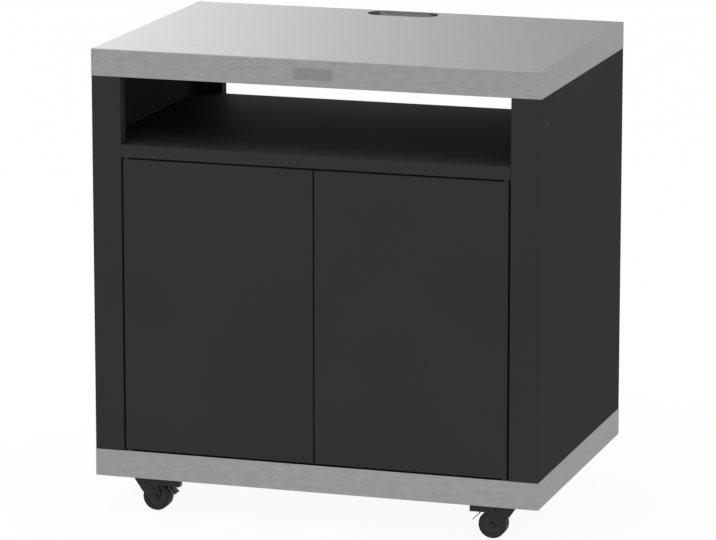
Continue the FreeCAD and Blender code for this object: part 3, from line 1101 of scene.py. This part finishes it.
@dataclass
class Latches(SubAssembly):
    """Screws of the push-to-open latches and of the bracket that carries them."""

    bracket_sheet: float = 1.2 * MM
    foot_screw: Screw = Screw(radius=3.2 * MM, height=1.8 * MM)
    foot_screw_x: float = 20.0 * MM
    foot_screw_inset: float = 9.0 * MM
    housing_screw: Screw = Screw(radius=2.4 * MM, height=1.4 * MM, recess=0.8 * MM)
    housing_shares: Pair = (0.72, 0.92)

    def build(self) -> None:
        """Adds the screw heads under the bracket's foot and on the latch housings."""
        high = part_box("latch_bracket")[1]
        foot_y, foot_z = high.y - self.foot_screw_inset, high.z - self.bracket_sheet
        heads = [self.foot_screw.mesh((x, foot_y, foot_z), (0, 0, -1))
                 for x in (-self.foot_screw_x, self.foot_screw_x)]
        for side in Side:
            low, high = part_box(side.word + "_latch_body")
            middle = (low.x + high.x) / 2
            for share in self.housing_shares:
                y = low.y + (high.y - low.y) * share
                heads.append(self.housing_screw.mesh((middle, y, low.z), (0, 0, -1)))
        self.piece("latch_screws", Shapes.joined(heads), "cabinet", "zinc_plate")


@dataclass
class Caster(SubAssembly):
    """One swivel caster: rounded stampings, a turned wheel and, in front, a ribbed brake pedal."""

    corner: Corner
    wheel_radius: float = 26.0 * MM
    tyre_inner: float = 20.0 * MM
    tyre_half: float = 12.0 * MM
    tyre_edge: float = 0.3 * MM
    tyre_shoulder: float = 1.0 * MM
    shoulder_end: float = 12.0
    shoulder_steps: int = 5
    shoulder_run: float = 0.8 * MM
    parting_line: float = 0.12 * MM
    tyre_steps: int = 96
    core_half: float = 12.5 * MM
    core_edge: Pair = (0.5 * MM, 0.4 * MM)
    bore: float = 3.08 * MM
    hub_radius: float = 8.0 * MM
    web_inner: float = 8.8 * MM
    web_outer: float = 17.2 * MM
    web_sink: float = 1.8 * MM
    rim_wall: Pair = (0.7 * MM, 0.3 * MM)
    core_steps: int = 72
    stampings: Tuple[Stamping, ...] = (
        Stamping("caster_fork", "fork", "caster_black", 0.45 * MM),
        Stamping("caster_stem", "cabinet", "zinc_plate", 0.3 * MM),
        Stamping("caster_axle", "fork", "zinc_black", 0.3 * MM),
    )
    brake_stampings: Tuple[Stamping, ...] = (
        Stamping("brake_pedal", "brake", "caster_black", 0.35 * MM),
        Stamping("brake_leaf", "brake", "spring_steel", 0.2 * MM),
    )
    leaf_swell: float = 0.35 * MM
    leaf_slope: Pair = (0.72, 0.69)
    rib_count: int = 5
    rib_start: float = 7.0 * MM
    rib_pitch: float = 3.2 * MM
    rib_size: Triple = (1.4 * MM, 18.0 * MM, 0.7 * MM)
    rib_corner: float = 0.6 * MM
    rib_edge: float = 0.3 * MM
    rib_sink: float = 0.1 * MM
    lip_width: float = 27.0 * MM
    lip_reach: float = 4.0 * MM
    lip_drop: float = 3.2 * MM
    lip_sheet: float = 1.5 * MM
    lip_inset: float = 0.3 * MM
    lip_root: float = 1.2 * MM
    root_levels: Pair = (0.9 * MM, 1.4 * MM)
    brow_drop: float = 1.2 * MM
    brow_fall: float = 2.5 * MM
    lip_edge: float = 0.3 * MM
    lip_bend: float = 40.0
    lip_steps: int = 12

    def wheel_piece(self, part: str, flank: Outline, steps: int, slot: str) -> bpy.types.Object:
        """Turned piece of the wheel.

        Args:
            part: Name of the piece behind the corner's word.
            flank: One half of its outline, whose mirror image is the other half.
            steps: Number of steps round the axle.
            slot: Material slot of its finish.

        Returns:
            The piece.
        """
        low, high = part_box(self.corner.word + "_wheel_tyre")
        place = Shapes.aimed((low + high) / 2, (0, 1, 0))
        outline = [*flank, *((radius, -height) for radius, height in reversed(flank))]
        return self.piece(self.corner.word + "_" + part, Shapes.lathe(outline, steps, place),
                          self.corner.word + "_wheel", slot)

    def tyre(self) -> None:
        """Tread with narrow round shoulders and a parting line on its crown."""
        inner, outer, half = self.tyre_inner, self.wheel_radius, self.tyre_half
        edge, shoulder, line = self.tyre_edge, self.tyre_shoulder, self.parting_line
        flank = [(inner, edge - half), (inner + edge, -half)]
        flank += Shapes.arc((outer - shoulder, shoulder - half), shoulder, -90,
                            -self.shoulder_end, self.shoulder_steps)
        flank += [(outer, shoulder + self.shoulder_run - half), (outer, -line * 2),
                  (outer - line, -line)]
        name = self.corner.word + "_wheel_tyre"
        piece = self.wheel_piece("tread", flank, self.tyre_steps, "tyre_rubber")
        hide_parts(name)

    def core(self) -> None:
        """Hub, sunk web and rim of the wheel."""
        half, (inward, down), (rim_out, rim_down) = self.core_half, self.core_edge, self.rim_wall
        rim_inner = self.web_outer + rim_out
        flank = [(self.bore, half), (self.hub_radius - inward, half),
                 (self.hub_radius, half - down), (self.web_inner, half - self.web_sink),
                 (self.web_outer, half - self.web_sink), (rim_inner, half - rim_down),
                 (rim_inner + inward, half), (self.tyre_inner - inward, half),
                 (self.tyre_inner, half - down)]
        piece = self.wheel_piece("hub", flank, self.core_steps, "black_plastic")
        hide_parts(self.corner.word + "_wheel_core")

    def stamped_parts(self) -> None:
        """Fork, stem, axle and brake with their edges rounded."""
        parts = self.stampings + (self.brake_stampings if self.corner.braked else ())
        for stamping in parts:
            node = self.corner.word + "_" + stamping.part
            fixed = stamping.body == "cabinet"
            body = stamping.body if fixed else self.corner.word + "_" + stamping.body
            mesh = Shapes.softened(node, stamping.edge)
            if stamping.part == "brake_leaf":
                self.thicken_leaf(mesh)
            piece = self.piece(node + "_rounded", mesh, body, stamping.slot)
            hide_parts(node)

    def thicken_leaf(self, mesh: Mesh) -> None:
        """Makes the leaf a heavier strip on its side away from the tread.

        Args:
            mesh: Mesh of the leaf.
        """
        across, up = self.leaf_slope
        away = Vector((self.corner.pedal_way * across, 0.0, up)) * self.leaf_swell
        moves = [vertex.normal * self.leaf_swell + away for vertex in mesh.vertices]
        for vertex, move in zip(mesh.vertices, moves):
            vertex.co += move

    def pedal_end(self) -> Tuple[float, float, float, float]:
        """Place of the pedal's free end.

        Returns:
            X of the free end, Y of the pedal's middle, and Z of its foot and of its top.
        """
        low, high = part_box(self.corner.word + "_brake_pedal")
        free = high.x if self.corner.pedal_way > 0 else low.x
        return free, (low.y + high.y) / 2, low.z, high.z

    def pedal_lip(self) -> None:
        """Rounded toe lip that the pedal's end wall turns down and out to."""
        free, middle, bottom, top = self.pedal_end()
        way, sheet = self.corner.pedal_way, self.lip_sheet
        root, (root_top, root_foot) = free - way * self.lip_root, self.root_levels
        work = bmesh.new()
        rings = []
        for i in range(self.lip_steps + 1):
            turn = math.pi * (i / self.lip_steps - 0.5)
            y = middle + self.lip_width / 2 * math.sin(turn)
            reach = self.lip_reach * math.cos(turn) - self.lip_inset
            foot = bottom - self.lip_drop * math.sqrt(max(math.cos(turn), 0.0))
            brow = top - self.brow_drop - self.brow_fall * math.cos(turn)
            outer, inner = free + way * reach, free + way * (reach - sheet)
            rings.append([work.verts.new(point) for point in (
                (root, y, top - root_top), (outer, y, brow), (outer, y, foot), (inner, y, foot),
                (inner, y, brow - sheet), (root, y, top - root_foot - sheet))])
        Shapes.skin(work, rings)
        bmesh.ops.recalc_face_normals(work, faces=work.faces)
        Shapes.round_edges(work, self.lip_edge, self.lip_bend)
        self.piece(self.corner.word + "_pedal_lip", Shapes.done(work),
                   self.corner.word + "_brake", "caster_black")

    def pedal_ribs(self) -> None:
        """Grip ribs across the pedal's tread."""
        free, middle, _, top = self.pedal_end()
        ribs = []
        for i in range(self.rib_count):
            x = free - self.corner.pedal_way * (self.rib_start + self.rib_pitch * i)
            ribs.append(Shapes.pad(self.rib_size, self.rib_corner, self.rib_edge,
                                   Matrix.Translation((x, middle, top - self.rib_sink))))
        self.piece(self.corner.word + "_pedal_ribs", Shapes.joined(ribs),
                   self.corner.word + "_brake", "caster_black")

    def build(self) -> None:
        """Builds the caster's visible pieces."""
        self.tyre()
        self.core()
        self.stamped_parts()
        if self.corner.braked:
            self.pedal_ribs()
            self.pedal_lip()


@dataclass
class Studio:
    """Pale floor, white surroundings, soft lights and the camera."""

    lens: float = 224.86
    sensor_width: float = 36.0
    view_range: Pair = (0.1, 100.0)
    azimuth: float = 17.456
    elevation: float = 12.220
    eye: Triple = (2.4513, -7.8209, 2.2038)
    room_light: float = 0.96
    white: float = 1.0
    floor_reach: float = 30.0
    floor_tones: Pair = (0.95, 0.96)
    floor_clouds_per_metre: float = 1.5
    floor_roughness: float = 0.9
    floor_glow: float = 0.94
    card_left: float = -1.5
    card_right: float = 0.0
    card_back: float = 2.0
    card_low: float = 0.9
    card_high: float = 2.9
    card_glow: float = 2.2
    card_curve: float = 1.5
    overhead_at: Triple = (-0.6, -0.6, 3.0)
    overhead_size: float = 1.8
    overhead_glow: float = 1.2

    def world(self) -> None:
        """White surroundings with an even light."""
        world = bpy.data.worlds.new("studio")
        world.use_nodes = True
        wiring = Wiring(world.node_tree)
        wiring.tree.nodes.clear()
        skies = []
        for strength in (self.room_light, self.white):
            sky = wiring.add("ShaderNodeBackground")
            sky.inputs["Color"].default_value = grey(1.0)
            sky.inputs["Strength"].default_value = strength
            skies.append(sky.outputs[0])
        output = wiring.add("ShaderNodeOutputWorld")
        wiring.join(wiring.blend(wiring.shown_white(), *skies), output.inputs["Surface"])
        bpy.context.scene.world = world

    def floor(self) -> None:
        """Pale floor that keeps a soft shadow."""
        graph = Graph("studio_floor")
        graph.set(Roughness=self.floor_roughness, Specular_IOR_Level=0.0)
        film = graph.noise(graph.place, self.floor_clouds_per_metre)
        graph.drive(Base_Color=graph.tint(film, *self.floor_tones))
        glow = graph.add("ShaderNodeEmission")
        glow.inputs["Strength"].default_value = self.white
        share = graph.times(graph.shown_white(), self.floor_glow)
        shown = graph.blend(share, graph.surface.outputs["BSDF"], glow.outputs[0])
        graph.join(shown, graph.output.inputs["Surface"])
        work = bmesh.new()
        bmesh.ops.create_grid(work, x_segments=1, y_segments=1, size=self.floor_reach)
        mesh = Shapes.done(work)
        mesh.materials.append(graph.material)
        floor = bpy.data.objects.new("studio_floor", mesh)
        bpy.context.scene.collection.objects.link(floor)

    @staticmethod
    def hang(light: bpy.types.Light, at: Triple) -> bpy.types.Object:
        """Hangs a light that shines down and isn't seen itself.

        Args:
            light: The light.
            at: Its place.

        Returns:
            The lamp.
        """
        lamp = bpy.data.objects.new(light.name, light)
        bpy.context.scene.collection.objects.link(lamp)
        lamp.location = at
        lamp.visible_camera = False
        return lamp

    def light_card(self) -> None:
        """Large soft light behind the cart, brighter at one end, that the worktop mirrors."""
        light = bpy.data.lights.new("light_card", "AREA")
        light.shape = "RECTANGLE"
        light.size = self.card_right - self.card_left
        light.size_y = self.card_high - self.card_low
        light.energy = math.pi * light.size * light.size_y
        light.use_nodes = True
        wiring = Wiring(light.node_tree)
        glow = next(node for node in wiring.tree.nodes if node.type == "EMISSION")
        place = wiring.add("ShaderNodeSeparateXYZ")
        geometry = wiring.add("ShaderNodeNewGeometry")
        wiring.join(geometry.outputs["Parametric"], place.inputs[0])
        ramp = wiring.maths("POWER", place.outputs["X"], self.card_curve)
        wiring.join(wiring.times(ramp, self.card_glow), glow.inputs["Strength"])
        card = self.hang(light, ((self.card_left + self.card_right) / 2, self.card_back,
                                 (self.card_low + self.card_high) / 2))
        card.rotation_euler = Vector((0, -1, 0)).to_track_quat("-Z", "Y").to_euler()

    def overhead_light(self) -> None:
        """Large soft light above the cart that picks out the bends of the steel."""
        light = bpy.data.lights.new("overhead_light", "AREA")
        light.shape = "SQUARE"
        light.size = self.overhead_size
        light.energy = math.pi * light.size ** 2 * self.overhead_glow
        self.hang(light, self.overhead_at)

    def camera(self) -> None:
        """Camera at the photograph's place."""
        data = bpy.data.cameras.new("camera")
        data.lens = self.lens
        data.sensor_width = self.sensor_width
        data.sensor_fit = "HORIZONTAL"
        data.clip_start, data.clip_end = self.view_range
        az, el = math.radians(self.azimuth), math.radians(self.elevation)
        back = Vector((math.sin(az) * math.cos(el), -math.cos(az) * math.cos(el), math.sin(el)))
        right = Vector((math.cos(az), math.sin(az), 0.0))
        matrix = Matrix((right, back.cross(right), back)).transposed().to_4x4()
        matrix.translation = Vector(self.eye)
        camera = bpy.data.objects.new("camera", data)
        camera.matrix_world = matrix
        bpy.context.scene.collection.objects.link(camera)
        bpy.context.scene.camera = camera

    def build(self) -> None:
        """Sets up the studio."""
        bpy.context.scene.view_settings.view_transform = "Standard"
        self.world()
        self.floor()
        self.light_card()
        self.overhead_light()
        self.camera()
        LOG.info("studio is set")


def main() -> None:
    """Builds the studio, dresses the frame and adds every fitting in order."""
    logging.basicConfig(level=logging.INFO, format="%(name)s: %(message)s")
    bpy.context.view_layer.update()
    Studio().build()
    finishes = Finishes()
    finishes.build()
    finishes.dress_all()
    Worktop(finishes).build()
    Cabinet(finishes).build()
    Doors(finishes).build()
    Latches(finishes).build()
    for corner in Corner:
        Caster(finishes, corner).build()


if __name__ == "__main__":
    main()
